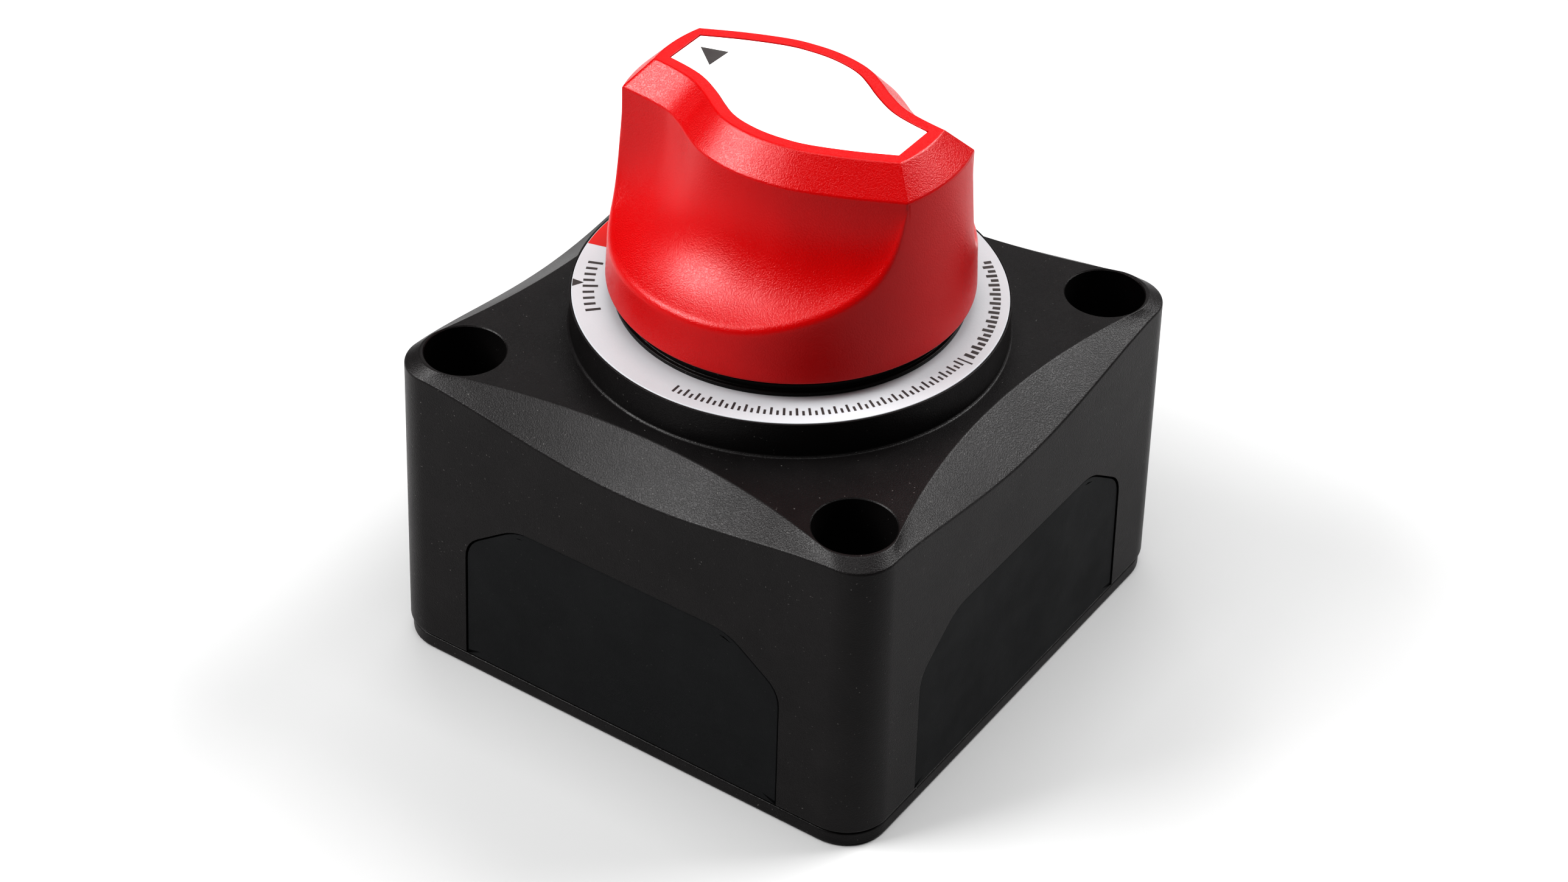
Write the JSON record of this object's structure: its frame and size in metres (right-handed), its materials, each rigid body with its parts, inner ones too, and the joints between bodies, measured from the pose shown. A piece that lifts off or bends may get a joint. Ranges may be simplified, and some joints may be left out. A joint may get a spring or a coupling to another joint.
{
  "type": "battery switch",
  "caption": "Square surface-mounted battery isolator switch with a round turning knob, detachable side covers, two studs and sprung contacts.",
  "frame": {"origin": "centre of the back cover's underside, where the switch rests on its panel", "axes": "+Z out of the panel through the knob; -Y is the front side and +X the right side as pictured; the knob's arrow points along -X when off"},
  "size_m": [0.069, 0.069, 0.0736],
  "materials": {
    "housing_black": "fine spark-eroded grain, black",
    "cover_black": "smooth matte, black",
    "ring_white": "satin white",
    "knob_red": "finely textured red, half gloss",
    "insert_white": "smooth white",
    "inner_grey": "plain grey moulding",
    "acetal_white": "plain off-white moulding",
    "seal_rubber": "matte black",
    "copper": "bare copper",
    "tinned_brass": "tin plated",
    "steel": "stainless"
  },
  "bodies": {
    "switch_body": {"housing": "housing_black", "back_cover": "housing_black", "side_cover_front": "cover_black", "side_cover_right": "cover_black", "side_cover_rear": "cover_black", "side_cover_left": "cover_black", "label_ring": "ring_white", "bezel": "housing_black", "spindle_bush": "acetal_white", "thrust_washer": "steel", "shaft_seal": "seal_rubber", "chamber_gasket": "seal_rubber", "contact_base": "inner_grey", "terminal_stud_left": "tinned_brass", "terminal_stud_right": "tinned_brass", "terminal_washer_left": "steel", "terminal_washer_right": "steel", "terminal_lock_washer_left": "steel", "terminal_lock_washer_right": "steel", "terminal_nut_left": "tinned_brass", "terminal_nut_right": "tinned_brass", "base_screw_1": "steel", "base_screw_2": "steel", "base_screw_3": "steel", "base_screw_4": "steel", "detent_ring": "acetal_white"},
    "shaft": {"spindle": "steel", "rotor": "inner_grey", "contact_spring": "steel", "detent_spring_a": "steel", "detent_spring_b": "steel"},
    "bridge": {"contact_bridge": "copper"},
    "plunger_a": {"detent_plunger_a": "steel"},
    "plunger_b": {"detent_plunger_b": "steel"},
    "knob": {"knob": "knob_red", "knob_insert": "insert_white"}
  },
  "joints": [
    {"name": "knob_turn", "type": "hinge", "parent": "switch_body", "child": "shaft", "pos_m": [0, 0, 0.05], "axis": [0, 0, 1], "range_deg": [-90, 33.3]},
    {"name": "knob_lift", "type": "slide", "parent": "shaft", "child": "knob", "axis": [0, 0, 1], "range_m": [0, 0.03]},
    {"name": "bridge_press", "type": "slide", "parent": "shaft", "child": "bridge", "axis": [0, 0, 1], "range_m": [0, 0.0008], "stiffness_N_per_m": 4000, "springref_m": -0.002, "deforming": ["contact_spring"]},
    {"name": "plunger_a_press", "type": "slide", "parent": "shaft", "child": "plunger_a", "axis": [-1, 0, 0], "range_m": [0, 0.001], "stiffness_N_per_m": 2000, "springref_m": -0.001, "deforming": ["detent_spring_a"]},
    {"name": "plunger_b_press", "type": "slide", "parent": "shaft", "child": "plunger_b", "axis": [1, 0, 0], "range_m": [0, 0.001], "stiffness_N_per_m": 2000, "springref_m": -0.001, "deforming": ["detent_spring_b"]}
  ]
}
